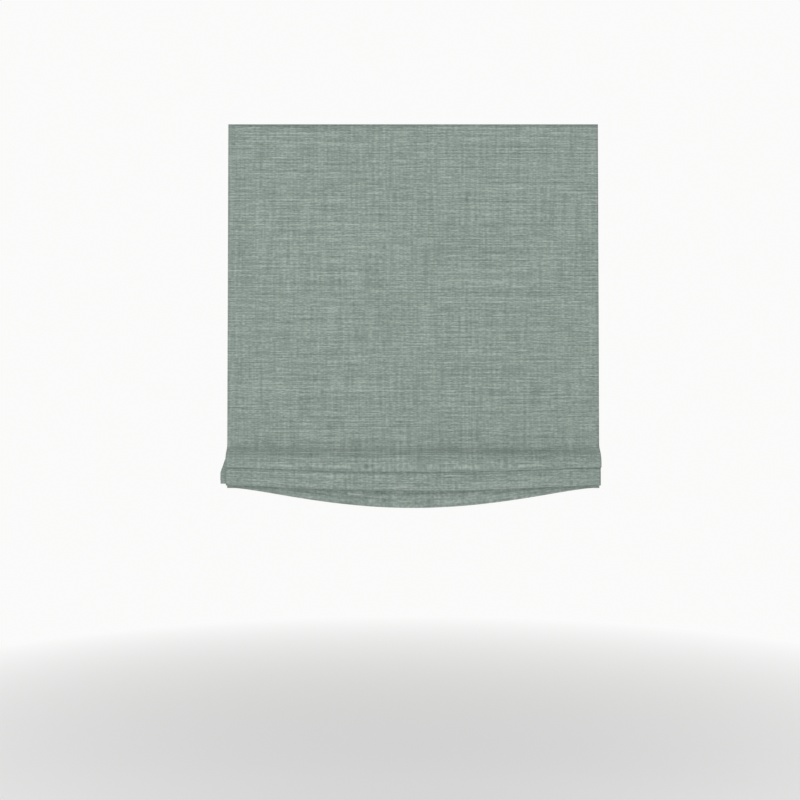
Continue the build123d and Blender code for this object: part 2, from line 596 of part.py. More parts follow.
# Rings, lift bar and cord ends
def ring_pair(drop):
    """One row of rings, one for each cord."""
    return [Pos(side * CORD_X, RING_Y, -drop) * Torus(RING_RADIUS, RING_WIRE_RADIUS)
            for side in SIDES.values()]


def lift_bar():
    outline = span(BAR_Y - BAR_THICKNESS / 2, BAR_Y + BAR_THICKNESS / 2, BAR_Z - BAR_HEIGHT / 2, BAR_TOP_Z)
    return along(outline, -BAR_HALF_LENGTH, BAR_HALF_LENGTH)


def bar_sleeve():
    """Cloth sleeve sewn to the lining, which holds the lift bar."""
    room = Pos(BAR_Y, BAR_Z) * Rectangle(BAR_THICKNESS + 2 * BAR_SLEEVE_CLEARANCE,
                                         BAR_HEIGHT + 2 * BAR_SLEEVE_CLEARANCE)
    outer = offset(room, BAR_SLEEVE_WALL, kind=Kind.ARC)
    half = BAR_HALF_LENGTH - BAR_SLEEVE_END_INSET
    return along(outer - room, -half, half)


def bar_plug(side):
    """Push-on plug over an end of the lift bar."""
    room = Pos(BAR_Y, BAR_Z) * Rectangle(BAR_THICKNESS + 2 * PLUG_CLEARANCE, BAR_HEIGHT + 2 * PLUG_CLEARANCE)
    outer = offset(room, PLUG_WALL, kind=Kind.ARC)
    tip = side * (BAR_HALF_LENGTH + PLUG_TIP)
    end = side * (BAR_HALF_LENGTH + PLUG_CLEARANCE)
    mouth = side * (BAR_HALF_LENGTH - PLUG_LENGTH)
    beyond = mouth - side * CUT_OVERRUN
    plug = along(outer, min(tip, mouth), max(tip, mouth))
    return plug - along(room, min(end, beyond), max(end, beyond))


def cord_orb(side):
    orb = Pos(side * CORD_X, CORD_Y, ORB_Z) * Sphere(ORB_RADIUS)
    bore = Pos(side * CORD_X, CORD_Y) * Circle(ORB_BORE_RADIUS)
    return orb - flat(bore, ORB_Z - ORB_RADIUS - CUT_OVERRUN, ORB_Z + ORB_RADIUS + CUT_OVERRUN)


def all_nodes():
    """Every named node with its solids."""
    nodes = {
        "face_fabric": [face_fabric()],
        "lining": [lining()],
        "headrail": [headrail()],
        "hook_tape": [tape(HEADRAIL_FRONT)],
        "loop_tape": [tape(HEADRAIL_FRONT - TAPE_THICKNESS)],
        "lift_shaft": [lift_shaft()],
        "drive_drum": [drive_drum()],
        "storage_drum": [storage_drum()],
        "spring_strip": [spring_strip()],
        "motor_tray": [motor_tray()],
        "motor_cover": [motor_cover()],
        "lift_bar": [lift_bar()],
        "bar_sleeve": [bar_sleeve()],
    }
    for name, side in SIDES.items():
        nodes[f"{name}_end_cap"] = [end_cap(side)]
        nodes[f"{name}_spool"] = [spool(side)]
        nodes[f"{name}_spool_cradle"] = [spool_cradle(side)]
        nodes[f"{name}_lift_cord"] = [lift_cord(side)]
        nodes[f"{name}_bar_plug"] = [bar_plug(side)]
        nodes[f"{name}_cord_orb"] = [cord_orb(side)]
        nodes[f"{name}_bracket"] = [bracket(side)]
        nodes[f"{name}_bracket_lock"] = [bracket_lock(side)]
        nodes[f"{name}_bracket_rivet"] = [bracket_rivet(side)]
    for row in range(PANEL_RING_ROWS):
        drop = CREASE_DROP - (PANEL_RING_ROWS - row) * RING_PITCH
        nodes[f"panel_rings_{row + 1}"] = ring_pair(drop)
    for row, drop in enumerate(STACK_RING_DROPS):
        nodes[f"stack_rings_{row + 1}"] = ring_pair(drop)
    return nodes


os.makedirs("parts", exist_ok=True)
for node, solids in all_nodes().items():
    shape = Compound(children=solids) if len(solids) > 1 else solids[0]
    export_step(shape, f"parts/{node}.step")
    print(node, round(shape.volume, 1))
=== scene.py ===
# %% [markdown]
# # A relaxed Roman shade in sage green
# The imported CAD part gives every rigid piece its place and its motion. This lesson dresses it: soft
# cloth with a woven finish, rings, cords and stitches, and then plain studio light and a camera
# straight in front.

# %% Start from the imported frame
import json
import math

import bmesh
import bpy
import numpy as np
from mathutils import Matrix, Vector

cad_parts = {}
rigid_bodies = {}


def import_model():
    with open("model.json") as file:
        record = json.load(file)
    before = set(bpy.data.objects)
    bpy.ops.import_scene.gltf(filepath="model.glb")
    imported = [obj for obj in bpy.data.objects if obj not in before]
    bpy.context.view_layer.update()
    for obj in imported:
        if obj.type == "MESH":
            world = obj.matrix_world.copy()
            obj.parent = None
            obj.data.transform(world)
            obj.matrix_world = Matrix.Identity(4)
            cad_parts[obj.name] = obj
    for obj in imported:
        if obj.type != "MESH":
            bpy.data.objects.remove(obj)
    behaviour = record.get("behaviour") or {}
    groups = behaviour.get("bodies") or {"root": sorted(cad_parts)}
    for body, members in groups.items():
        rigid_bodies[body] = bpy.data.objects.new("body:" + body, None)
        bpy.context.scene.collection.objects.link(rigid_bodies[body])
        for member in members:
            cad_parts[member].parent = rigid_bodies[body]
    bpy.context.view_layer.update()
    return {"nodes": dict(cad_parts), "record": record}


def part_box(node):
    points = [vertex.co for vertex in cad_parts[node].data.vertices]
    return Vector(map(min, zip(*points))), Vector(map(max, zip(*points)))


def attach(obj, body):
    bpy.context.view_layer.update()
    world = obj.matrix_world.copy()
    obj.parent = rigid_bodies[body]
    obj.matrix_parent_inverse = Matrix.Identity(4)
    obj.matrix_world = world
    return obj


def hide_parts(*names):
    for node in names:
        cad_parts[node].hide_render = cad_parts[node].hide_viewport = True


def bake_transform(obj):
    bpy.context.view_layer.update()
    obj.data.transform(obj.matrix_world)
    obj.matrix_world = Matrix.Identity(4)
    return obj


for leftover in list(bpy.data.objects):
    bpy.data.objects.remove(leftover)
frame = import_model()
scene = bpy.context.scene
scene.view_settings.view_transform = "Standard"
MM = 0.001

# %% [markdown]
# ## Shader sums in plain Python
# A finish could be drawn in the shader editor, but a sum is easier to read than a drawing of nodes.
# Wire holds one output of a node tree, and its operators add the Math node they stand for. Nodes has
# one method for every other node, and Finish is the nodes of one material.


# %% Wires and finishes
class Wire:
    """One output socket, with the usual operators."""

    def __init__(self, tree, socket):
        self.tree = tree
        self.socket = socket

    def math(self, operation, first, second=0.0, clamp=False):
        made = self.tree.nodes.new("ShaderNodeMath")
        made.operation = operation
        made.use_clamp = clamp
        for place, value in zip(made.inputs, (first, second)):
            plug(self.tree, place, value)
        return Wire(self.tree, made.outputs[0])

    def __add__(self, other):
        return self.math("ADD", self, other)

    __radd__ = __add__

    def __sub__(self, other):
        return self.math("SUBTRACT", self, other)

    def __rsub__(self, other):
        return self.math("SUBTRACT", other, self)

    def __mul__(self, other):
        return self.math("MULTIPLY", self, other)

    __rmul__ = __mul__

    def __truediv__(self, other):
        return self.math("DIVIDE", self, other)

    def __rtruediv__(self, other):
        return self.math("DIVIDE", other, self)

    def __pow__(self, other):
        return self.math("POWER", self, other)

    def __rpow__(self, other):
        return self.math("POWER", other, self)

    def sine(self):
        return self.math("SINE", self)

    def clamped(self):
        return self.math("ADD", self, 0.0, clamp=True)


def plug(tree, place, value):
    """Links a wire to an input socket, or writes a plain value there."""
    if isinstance(value, Wire):
        tree.links.new(value.socket, place)
    else:
        place.default_value = value


class Nodes:
    """A node tree, with one method for any node and a few short ways to call it."""

    def __init__(self, tree):
        self.tree = tree

    def node(self, kind, settings=None, sockets=None, output=0):
        """A node by its type, its settings, then the values or wires of its sockets."""
        made = self.tree.nodes.new(kind)
        for key, value in (settings or {}).items():
            setattr(made, key, value)
        for key, value in (sockets or {}).items():
            plug(self.tree, made.inputs[key], value)
        return Wire(self.tree, made.outputs[output])

    def noise(self, vector, scale, detail=2.0, roughness=0.5):
        return self.node("ShaderNodeTexNoise", {"noise_dimensions": "3D"}, {
            "Vector": vector, "Scale": scale, "Detail": detail, "Roughness": roughness}, "Fac")

    def parts(self, vector):
        split = self.node("ShaderNodeSeparateXYZ", sockets={"Vector": vector})
        outputs = split.socket.node.outputs
        return [Wire(self.tree, outputs[axis]) for axis in "XYZ"]

    def vector(self, x, y, z):
        return self.node("ShaderNodeCombineXYZ", sockets={"X": x, "Y": y, "Z": z})


MIX_SHARE, MIX_FIRST, MIX_SECOND, MIX_RESULT = 0, 6, 7, 2


class Finish(Nodes):
    """A material with one Principled shader; constants are set on its sockets."""

    def __init__(self, name, **constants):
        self.material = bpy.data.materials.new(name)
        self.material.use_nodes = True
        super().__init__(self.material.node_tree)
        self.shader = self.tree.nodes["Principled BSDF"]
        for socket, value in constants.items():
            self.set(socket.replace("_", " "), value)

    def set(self, socket, value):
        plug(self.tree, self.shader.inputs[socket], value)

    def mix(self, share, first, second):
        """A colour between two others, through the colour sockets of the Mix node."""
        return self.node("ShaderNodeMix", {"data_type": "RGBA"}, {
            MIX_SHARE: share, MIX_FIRST: first, MIX_SECOND: second}, MIX_RESULT)

    def bump(self, height, distance):
        self.set("Normal", self.node("ShaderNodeBump", sockets={"Height": height, "Distance": distance}))


def colour(red, green, blue):
    """An eight-bit screen colour as the linear numbers that a shader takes."""
    shares = [value / 255 for value in (red, green, blue)]
    return (*[s / 12.92 if s <= 0.04045 else ((s + 0.055) / 1.055) ** 2.4 for s in shares], 1.0)


print("shader helpers ready")

# %% [markdown]
# ## The woven cloth
# The face cloth is a plain weave with uneven threads. The weft threads run across the shade: some are
# thick and pale, some thin and dark, and each lasts only a hand's breadth. Modelled threads would be
# far too many and a picture of cloth would repeat, so long thin noise draws these slubs. The weave is
# read from Object coordinates on the flat panel, so that it keeps its scale as the panel gathers, and
# from the UV map in the folds, where the cloth turns away from the front.

# %% Sage linen
SAGE = colour(141, 155, 148)
SAGE_PALE = colour(176, 188, 181)
SAGE_DEEP = colour(109, 123, 116)
WEFT_PITCH = 1.15 * MM
WARP_PITCH = 1.35 * MM
NOISE_MEAN = 0.5
SLUB_START = 0.7
SLUB_EDGE = 5.0
# how much each sort of thread adds to the shade
WEFT_SHADE = 1.15
FLECK_SHADE = 1.1
LINE_SHADE = 0.8
WARP_SHADE = 0.65
SLUB_SHADE = 0.6
SHADE_REACH = 2.0
# and how much to the relief
OVER_RELIEF = 0.35
UNDER_RELIEF = 0.25
WEFT_RELIEF = 1.6
WARP_RELIEF = 0.8


def woven(name, plain, pale, deep, slub, roughness, thread_depth):
    """A plain weave on (across, along) in metres: slubs, flecks, long lines and warp threads."""
    cloth = Finish(name, Roughness=roughness, Specular_IOR_Level=0.12, Sheen_Weight=0.06,
                   Sheen_Roughness=0.5)
    place = cloth.node("ShaderNodeTexCoord", output="Object")
    flat = cloth.node("ShaderNodeTexCoord", output="UV")
    folded = cloth.node("ShaderNodeAttribute", {"attribute_name": "folded"}, output="Fac")
    x, _, z = cloth.parts(place)
    u, v, _ = cloth.parts(flat)
    across = x + (u - x) * folded
    along = z + (v - z) * folded

    def threads(across_scale, along_scale, seed, detail, roughness=0.5):
        """Noise drawn out into threads, by how many go to a metre each way."""
        stretched = cloth.vector(across * across_scale, along * along_scale, seed)
        return cloth.noise(stretched, 1.0, detail, roughness)

    weft = threads(18.0, 265.0, seed=0.0, detail=2.0, roughness=0.6) - NOISE_MEAN
    fleck = threads(120.0, 330.0, seed=5.0, detail=1.0) - NOISE_MEAN
    lines = threads(2.4, 265.0, seed=3.0, detail=1.0) - NOISE_MEAN
    warp = threads(150.0, 7.0, seed=7.0, detail=2.0, roughness=0.55) - NOISE_MEAN
    thick = ((threads(17.0, 330.0, seed=19.0, detail=0.0) - SLUB_START) * SLUB_EDGE).clamped()
    shade = weft * WEFT_SHADE + fleck * FLECK_SHADE + lines * LINE_SHADE + warp * WARP_SHADE
    shade = (shade + thick * SLUB_SHADE) * slub
    base = cloth.mix((shade * SHADE_REACH).clamped(), plain, pale)
    cloth.set("Base Color", cloth.mix((shade * -SHADE_REACH).clamped(), base, deep))
    over = (along * (2 * math.pi / WEFT_PITCH)).sine()
    under = (across * (2 * math.pi / WARP_PITCH)).sine()
    relief = over * OVER_RELIEF + under * UNDER_RELIEF + weft * WEFT_RELIEF + warp * WARP_RELIEF
    cloth.bump(relief, thread_depth)
    return cloth.material


SAGE_LINEN = woven("sage_linen", SAGE, SAGE_PALE, SAGE_DEEP, slub=0.92, roughness=0.86,
                   thread_depth=0.35 * MM)
IVORY = colour(226, 221, 208)
IVORY_PALE = colour(236, 232, 222)
IVORY_DEEP = colour(210, 204, 190)
IVORY_COTTON = woven("ivory_cotton", IVORY, IVORY_PALE, IVORY_DEEP, slub=0.55, roughness=0.88,
                     thread_depth=0.15 * MM)
print("woven finishes", SAGE_LINEN.name, IVORY_COTTON.name)

# %% [markdown]
# ## Where the cloth folds
# Seen from its end, the cloth is one long line: a flat panel, a crease at the ring line, then loops
# that hang in front of one another, each one's top drawn back to a ring. A cloth simulation could drape
# it, but its folds would not stop where the rings stop them. So the line is listed as corners with a
# radius each, and moved sideways a little to give the face cloth or the lining its own place.

# %% The fold line
face_low, face_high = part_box("face_fabric")
HALF_WIDTH = face_high.x
CLOTH_TOP = face_high.z
LINING_THICKNESS = 0.6 * MM
LAYER_GAP = 0.2 * MM
PANEL_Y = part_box("lining")[1].y - LINING_THICKNESS - LAYER_GAP / 2
RING_ABOVE_CREASE = 8.0 * MM
CREASE = (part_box("stack_rings_1")[0].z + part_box("stack_rings_1")[1].z) / 2 - RING_ABOVE_CREASE
CREASE_RADIUS = 16.0 * MM
LEG_PITCH = 3.4 * MM
RING_STEP = 11.0 * MM
RING_TURN = 4.0 * MM
RUN_SLOPE = 0.7
HEM_SAG = 48.0 * MM
FACE_THICKNESS = 1.0 * MM
HEM_DROP = -face_low.z - HEM_SAG - FACE_THICKNESS - LAYER_GAP / 2
HEM_TURN_UP = 24.0 * MM
HEM_TURN_WIDTH = LINING_THICKNESS + LAYER_GAP
HEM_TUCK = 10.0 * MM
HEM_SHOWING = 7.0 * MM
SECOND_FOLD = HEM_DROP - HEM_SHOWING
SECOND_FOLD_SHOWING = 43.0 * MM
HIDDEN_FOLD_RISE = 4.0 * MM
FRONT_FOLD_SAG = 11.0 * MM
SECOND_FOLD_SAG = 13.0 * MM
HIDDEN_FOLD_SAG = -(FRONT_FOLD_SAG + SECOND_FOLD_SAG) / 2
FRONT_ROLL_RADIUS = 34.0 * MM
LEG_TOP_RADIUS = 3.0 * MM
RING_TURN_RADIUS = 1.5 * MM
# each fold from the front: its width, its drop at the sides, its sag in the middle, the radius of its top
FOLDS = (
    (8.2 * MM, SECOND_FOLD - SECOND_FOLD_SHOWING, FRONT_FOLD_SAG, FRONT_ROLL_RADIUS),
    (6.0 * MM, SECOND_FOLD, SECOND_FOLD_SAG, LEG_TOP_RADIUS),
    (LEG_PITCH, SECOND_FOLD - HIDDEN_FOLD_RISE, HIDDEN_FOLD_SAG, LEG_TOP_RADIUS),
    (LEG_PITCH, SECOND_FOLD - 2 * HIDDEN_FOLD_RISE, HIDDEN_FOLD_SAG, LEG_TOP_RADIUS),
)
HIDDEN_CORNER = 10
LAST_CORNER = 23
ROUND_SHARE = 0.465
FACE_SIDE = (LAYER_GAP + FACE_THICKNESS) / 2
LINING_SIDE = -(LAYER_GAP + LINING_THICKNESS) / 2
PANEL_ROWS = 64
FRONT_RUN_ROWS = 4
FRONT_LEG_ROWS = 7
BACK_LEG_ROWS = 6
BACK_RUN_ROWS = 3
TURN_ROWS = 1
HEM_LEG_ROWS = 12
HEM_ROWS = 6


def fold_corners(sag, turned_up, panel_rows=PANEL_ROWS, hem_rows=HEM_ROWS):
    """Corners (y, z), radii and points per straight, for a droop from 0 at the sides to 1 in the middle."""
    points = [(PANEL_Y, CLOTH_TOP), (PANEL_Y, CREASE)]
    radii = [CREASE_RADIUS]
    steps = [panel_rows]
    depth = sum(fold[0] + LEG_PITCH for fold in FOLDS)
    start_z = CREASE
    for number, (width, drop, droop, top_radius) in enumerate(FOLDS):
        front = PANEL_Y - depth
        back = front + width
        bottom = -(drop + sag * droop)
        ring_z = CREASE - (number + 1) * RING_STEP
        points += [(front, start_z - RUN_SLOPE * depth), (front, bottom), (back, bottom)]
        radii += [top_radius, width * ROUND_SHARE, width * ROUND_SHARE]
        steps += [FRONT_RUN_ROWS, FRONT_LEG_ROWS, TURN_ROWS]
        depth -= width
        if number < len(FOLDS) - 1:
            upper = ring_z + RING_TURN / 2
            start_z = ring_z - RING_TURN / 2
            points += [(back, upper - RUN_SLOPE * depth), (PANEL_Y, upper), (PANEL_Y, start_z)]
            radii += [LEG_TOP_RADIUS, RING_TURN_RADIUS, RING_TURN_RADIUS]
            steps += [BACK_LEG_ROWS, BACK_RUN_ROWS, TURN_ROWS]
        else:
            points += [(back, ring_z), (PANEL_Y, ring_z)]
            radii += [LEG_PITCH * ROUND_SHARE] * 2
            steps += [BACK_LEG_ROWS, TURN_ROWS]
        depth -= LEG_PITCH
    hem_z = -(HEM_DROP + sag * HEM_SAG)
    if turned_up:
        behind = PANEL_Y + HEM_TURN_WIDTH
        points += [(PANEL_Y, hem_z), (behind, hem_z), (behind, hem_z + HEM_TURN_UP)]
        radii += [HEM_TURN_WIDTH * ROUND_SHARE] * 2
        steps += [HEM_LEG_ROWS, TURN_ROWS, hem_rows]
    else:
        points.append((PANEL_Y, hem_z + HEM_TURN_UP - HEM_TUCK))
        steps.append(HEM_LEG_ROWS)
    return points, radii, steps


def sideways(points, radii, distance):
    """The same corners moved to the right of the line by a distance, with their new radii."""
    ways = [np.subtract(b, a) / np.linalg.norm(np.subtract(b, a)) for a, b in zip(points, points[1:])]
    moved = []
    bends = []
    for index, point in enumerate(points):
        before = ways[max(index - 1, 0)]
        after = ways[min(index, len(ways) - 1)]
        scale = distance / (1 + before @ after)
        moved.append((point[0] + scale * (before[1] + after[1]), point[1] - scale * (before[0] + after[0])))
        if 0 < index < len(points) - 1:
            turn = before[0] * after[1] - before[1] * after[0]
            bends.append(radii[index - 1] + distance * math.copysign(1, turn))
    return moved, bends


ARC_STEPS = 6


def rounded(points, radii, steps):
    """Points along the corners with round bends: the same number for the same steps."""
    line = []
    last = np.array(points[0])
    for index in range(1, len(points)):
        here = np.array(points[index])
        if index == len(points) - 1:
            line += [last + (here - last) * k / steps[index - 1] for k in range(steps[index - 1] + 1)]
            break
        back = (np.array(points[index - 1]) - here) / np.linalg.norm(np.subtract(points[index - 1], here))
        on = (np.array(points[index + 1]) - here) / np.linalg.norm(np.subtract(points[index + 1], here))
        half = math.acos(max(-1.0, min(1.0, back @ on))) / 2
        radius = radii[index - 1]
        first = here + back * radius / math.tan(half)
        end = here + on * radius / math.tan(half)
        centre = here + (back + on) / np.linalg.norm(back + on) * radius / math.sin(half)
        line += [last + (first - last) * k / steps[index - 1] for k in range(steps[index - 1])]
        angle = math.atan2(*(first - centre)[::-1])
        sweep = (math.atan2(*(end - centre)[::-1]) - angle + math.pi) % (2 * math.pi) - math.pi
        angles = [angle + sweep * k / ARC_STEPS for k in range(ARC_STEPS)]
        line += [centre + radius * np.array((math.cos(a), math.sin(a))) for a in angles]
        last = end
    return np.array(line)


def cloth_line(sag, side, turned_up, **rows):
    points, radii, steps = fold_corners(sag, turned_up, **rows)
    return rounded(*sideways(points, radii, side), steps)


def rows_before(corner, turned_up, **rows):
    """How many rows of the cloth come before a corner of the fold line."""
    steps = fold_corners(0.0, turned_up, **rows)[2]
    return sum(steps[:corner]) + ARC_STEPS * corner


def length_of(line):
    return np.concatenate([[0.0], np.cumsum(np.linalg.norm(np.diff(line, axis=0), axis=1))])


side_length, middle_length = (length_of(cloth_line(sag, FACE_SIDE, True))[-1] for sag in (0, 1))
print("cloth length", round(side_length, 4), "at the sides", round(middle_length, 4), "in the middle")

# %% [markdown]
# ## Drawing the line out into cloth
# Face, lining and hems are layers of one soft stack. Each could be sculpted by itself, but the layers
# would soon cut each other. The shape follows one rule right across the shade, so one Geometry Nodes
# tree makes them all: a grid takes its rows from the fold line at the sides, mixes in the line from the
# middle by the droop, and adds a slow ripple.

# %% The cloth tree
DROOP_WIDTH_SHARE = 0.48
DROOP_HALF_SPAN = DROOP_WIDTH_SHARE * 2 * HALF_WIDTH
DROOP_POWER = 1.35
RING_RADIUS = 7.1 * MM
RING_WIRE = 0.9 * MM
RING_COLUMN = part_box("stack_rings_1")[1].x - RING_RADIUS - RING_WIRE
RIPPLE_CLEAR = 80.0 * MM
RIPPLE_ACROSS = 4.2
RIPPLE_ALONG = 1.3
RIPPLE_SEED = 2.0
FLARE_SPAN = 70.0 * MM


class Tree(Nodes):
    """A Geometry Nodes tree with named inputs."""

    def __init__(self, name, **inputs):
        super().__init__(bpy.data.node_groups.new(name, "GeometryNodeTree"))
        self.tree.interface.new_socket("Geometry", in_out="INPUT", socket_type="NodeSocketGeometry")
        for label, (kind, value) in inputs.items():
            made = self.tree.interface.new_socket(label, in_out="INPUT", socket_type=f"NodeSocket{kind}")
            if value is not None:
                made.default_value = value
        self.tree.interface.new_socket("Geometry", in_out="OUTPUT", socket_type="NodeSocketGeometry")
        self.source = self.tree.nodes.new("NodeGroupInput")
        self.end = self.tree.nodes.new("NodeGroupOutput")

    def input(self, label):
        return Wire(self.tree, self.source.outputs[label])

    def finish(self, geometry, material):
        """Ends the tree with a plain mesh in one material."""
        real = self.node("GeometryNodeRealizeInstances", sockets={"Geometry": geometry})
        done = self.node("GeometryNodeSetMaterial", sockets={"Geometry": real, "Material": material})
        self.tree.links.new(done.socket, self.end.inputs["Geometry"])

    def identifier(self, label):
        """The name under which a modifier holds this input."""
        return next(item.identifier for item in self.tree.interface.items_tree
                    if item.name == label and item.in_out == "INPUT")


def cloth_tree():
    """A grid of columns across the shade, whose rows follow the fold line."""
    tree = Tree("cloth_across", Columns=("Int", 2), From=("Float", 0.0), To=("Float", 1.0), Rows=("Int", 2),
                Ripple=("Float", 0.0), Flare=("Float", 0.0), Material=("Material", None))
    rows = tree.input("Rows")
    columns = tree.input("Columns")
    grid = tree.node("GeometryNodeMeshGrid", sockets={
        "Vertices X": columns, "Vertices Y": rows}, output="Mesh")
    index = tree.node("GeometryNodeInputIndex")
    column = index.math("FLOOR", (index + 0.5) / rows)
    row = index - column * rows
    x = tree.input("From") + (tree.input("To") - tree.input("From")) * column / (columns - 1.0)

    def along(attribute, kind):
        """What the fold line says at this row."""
        value = tree.node("GeometryNodeInputNamedAttribute", {"data_type": kind}, {
            "Name": attribute}, "Attribute")
        return tree.node("GeometryNodeSampleIndex", {"data_type": kind, "domain": "POINT"},
                         {"Geometry": tree.input("Geometry"), "Value": value, "Index": row}, "Value")

    across = x / DROOP_HALF_SPAN
    droop = across.math("MAXIMUM", 1.0 - across * across, 0.0) ** DROOP_POWER
    _, side_y, side_z = tree.parts(along("at_side", "FLOAT_VECTOR"))
    _, middle_y, middle_z = tree.parts(along("in_middle", "FLOAT_VECTOR"))
    ripple_place = tree.vector(x * RIPPLE_ACROSS, along("ripple_at", "FLOAT") * RIPPLE_ALONG, RIPPLE_SEED)
    wave = tree.noise(ripple_place, scale=1.0, detail=1.0, roughness=0.4) - NOISE_MEAN
    from_rings = x.math("ABSOLUTE", x.math("ABSOLUTE", x) - RING_COLUMN) / RIPPLE_CLEAR
    free = from_rings.clamped() * from_rings.clamped() * along("loose", "FLOAT")
    y = side_y + (middle_y - side_y) * droop - wave * tree.input("Ripple") * free
    z = side_z + (middle_z - side_z) * droop
    near_edge = x.math("MAXIMUM", 0.0 - x - (HALF_WIDTH - FLARE_SPAN), 0.0) / FLARE_SPAN
    shown_x = x - near_edge * near_edge * tree.input("Flare") * along("flare", "FLOAT")
    placed = tree.node("GeometryNodeSetPosition", sockets={
        "Geometry": grid, "Position": tree.vector(shown_x, y, z)})
    flat_place = tree.node("GeometryNodeFieldOnDomain", {"data_type": "FLOAT_VECTOR", "domain": "POINT"}, {
        "Value": tree.vector(x, along("measured", "FLOAT"), 0.0)})
    mapped = tree.node("GeometryNodeStoreNamedAttribute", {"data_type": "FLOAT2", "domain": "CORNER"}, {
        "Geometry": placed, "Name": "UVMap", "Value": flat_place})
    marked = tree.node("GeometryNodeStoreNamedAttribute", {"data_type": "FLOAT", "domain": "POINT"}, {
        "Geometry": mapped, "Name": "folded", "Value": along("folded", "FLOAT")})
    smooth = tree.node("GeometryNodeSetShadeSmooth", sockets={"Geometry": marked})
    tree.finish(smooth, tree.input("Material"))
    return tree


CLOTH_TREE = cloth_tree()
RIPPLE = 5.0 * MM
FLARE = 14.0 * MM
FLARE_RISE = 40.0 * MM
CREASE_MARGIN = 10.0 * MM


def plain_mesh(made, name):
    """The evaluated shape as an object of its own, with no modifiers."""
    graph = bpy.context.evaluated_depsgraph_get()
    mesh = bpy.data.meshes.new_from_object(made.evaluated_get(graph))
    mesh.name = name
    bpy.data.objects.remove(made)
    piece = bpy.data.objects.new(name, mesh)
    scene.collection.objects.link(piece)
    return piece


def grow(name, base, tree, values, thickness=0.0):
    """Runs a tree on a base mesh and keeps the result."""
    made = bpy.data.objects.new(name + "_base", base)
    scene.collection.objects.link(made)
    modifier = made.modifiers.new("grow", "NODES")
    modifier.node_group = tree.tree
    for label, value in values.items():
        modifier[tree.identifier(label)] = value
    if thickness:
        wall = made.modifiers.new("wall", "SOLIDIFY")
        wall.thickness = thickness
        wall.offset = 0.0
    return plain_mesh(made, name)


def cloth_strip(name, side, across, columns, thickness, material, turned_up, keep=slice(None), **rows):
    """A layer of cloth between two places across the shade, or only some rows of it."""
    lines = [cloth_line(sag, side, turned_up, **rows) for sag in (0, 1)]
    measured = length_of(lines[0])
    crease_row = int(np.argmax(lines[0][:, 1] < CREASE + CREASE_MARGIN))
    number = np.arange(len(measured))
    hidden = (number > rows_before(HIDDEN_CORNER, turned_up, **rows))
    hidden &= (number < rows_before(LAST_CORNER, turned_up, **rows))
    facts = {
        "measured": CLOTH_TOP - measured,
        "ripple_at": measured,
        "loose": np.sin(np.pi * np.clip(measured / measured[crease_row], 0, 1)) ** 2,
        "folded": (number > crease_row).astype(float),
        "flare": hidden * np.clip((CREASE - 2 * RING_STEP - lines[0][:, 1]) / FLARE_RISE, 0, 1),
    }
    base = bpy.data.meshes.new(name + "_line")
    base.from_pydata([(0.0, *point) for point in lines[0][keep]], [], [])
    count = len(base.vertices)
    for label, line in (("at_side", lines[0]), ("in_middle", lines[1])):
        held = base.attributes.new(label, "FLOAT_VECTOR", "POINT")
        held.data.foreach_set("vector", np.column_stack([np.zeros(count), line[keep]]).ravel())
    for label, value in facts.items():
        held = base.attributes.new(label, "FLOAT", "POINT")
        held.data.foreach_set("value", value[keep].astype(np.float32))
    values = {"Columns": columns, "From": min(across), "To": max(across), "Rows": count, "Ripple": RIPPLE,
              "Flare": FLARE, "Material": material}
    return grow(name, base, CLOTH_TREE, values, thickness)


LINING_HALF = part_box("lining")[1].x
SIDE_HEM_GAP = 0.6 * MM
FACE_COLUMNS = 121
LINING_COLUMNS = 115
SIDE_HEM_COLUMNS = 5
face_cloth = cloth_strip("face_cloth", FACE_SIDE, (-HALF_WIDTH, HALF_WIDTH), FACE_COLUMNS, FACE_THICKNESS,
                         SAGE_LINEN, turned_up=True)
lining_cloth = cloth_strip("lining_cloth", LINING_SIDE, (-LINING_HALF, LINING_HALF), LINING_COLUMNS,
                           LINING_THICKNESS, IVORY_COTTON, turned_up=False)
side_hems = {}
for label, sign in (("left", -1), ("right", 1)):
    ends = (sign * (LINING_HALF + SIDE_HEM_GAP), sign * HALF_WIDTH)
    side_hems[label] = cloth_strip(f"{label}_side_hem", LINING_SIDE, ends, SIDE_HEM_COLUMNS,
                                   LINING_THICKNESS, SAGE_LINEN, turned_up=False)
print("cloth", {o.name: len(o.data.polygons) for o in (face_cloth, lining_cloth, *side_hems.values())})

# %% [markdown]
# ## Stitches on the hems
# A row of stitches runs down each side hem, and one follows the curve of the turned-up bottom hem.
# Beads set on points would do for a straight seam. Here a thread is a very narrow strip from the
# cloth's own tree, cut into dashes, so that it lies on the cloth wherever the cloth goes.

# %% Hem stitches
THREAD = Finish("sewing_thread", Base_Color=colour(206, 208, 198), Roughness=0.8).material
STITCH_WIDTH = 0.5 * MM
STITCH_LIFT = 0.15 * MM
STITCH_INSET = 3.0 * MM
STITCH_PERIOD = 3
SIDE_STITCH_ROWS = slice(16, 300)
SIDE_PANEL_ROWS = 320
HEM_STITCH_ROWS = slice(-8, -6)
HEM_STITCH_COLUMNS = 341
HEM_FINE_ROWS = 48
SORT_WAY = Vector((0.31, 0.07, 1.0))  # slanted, so that no two places tie


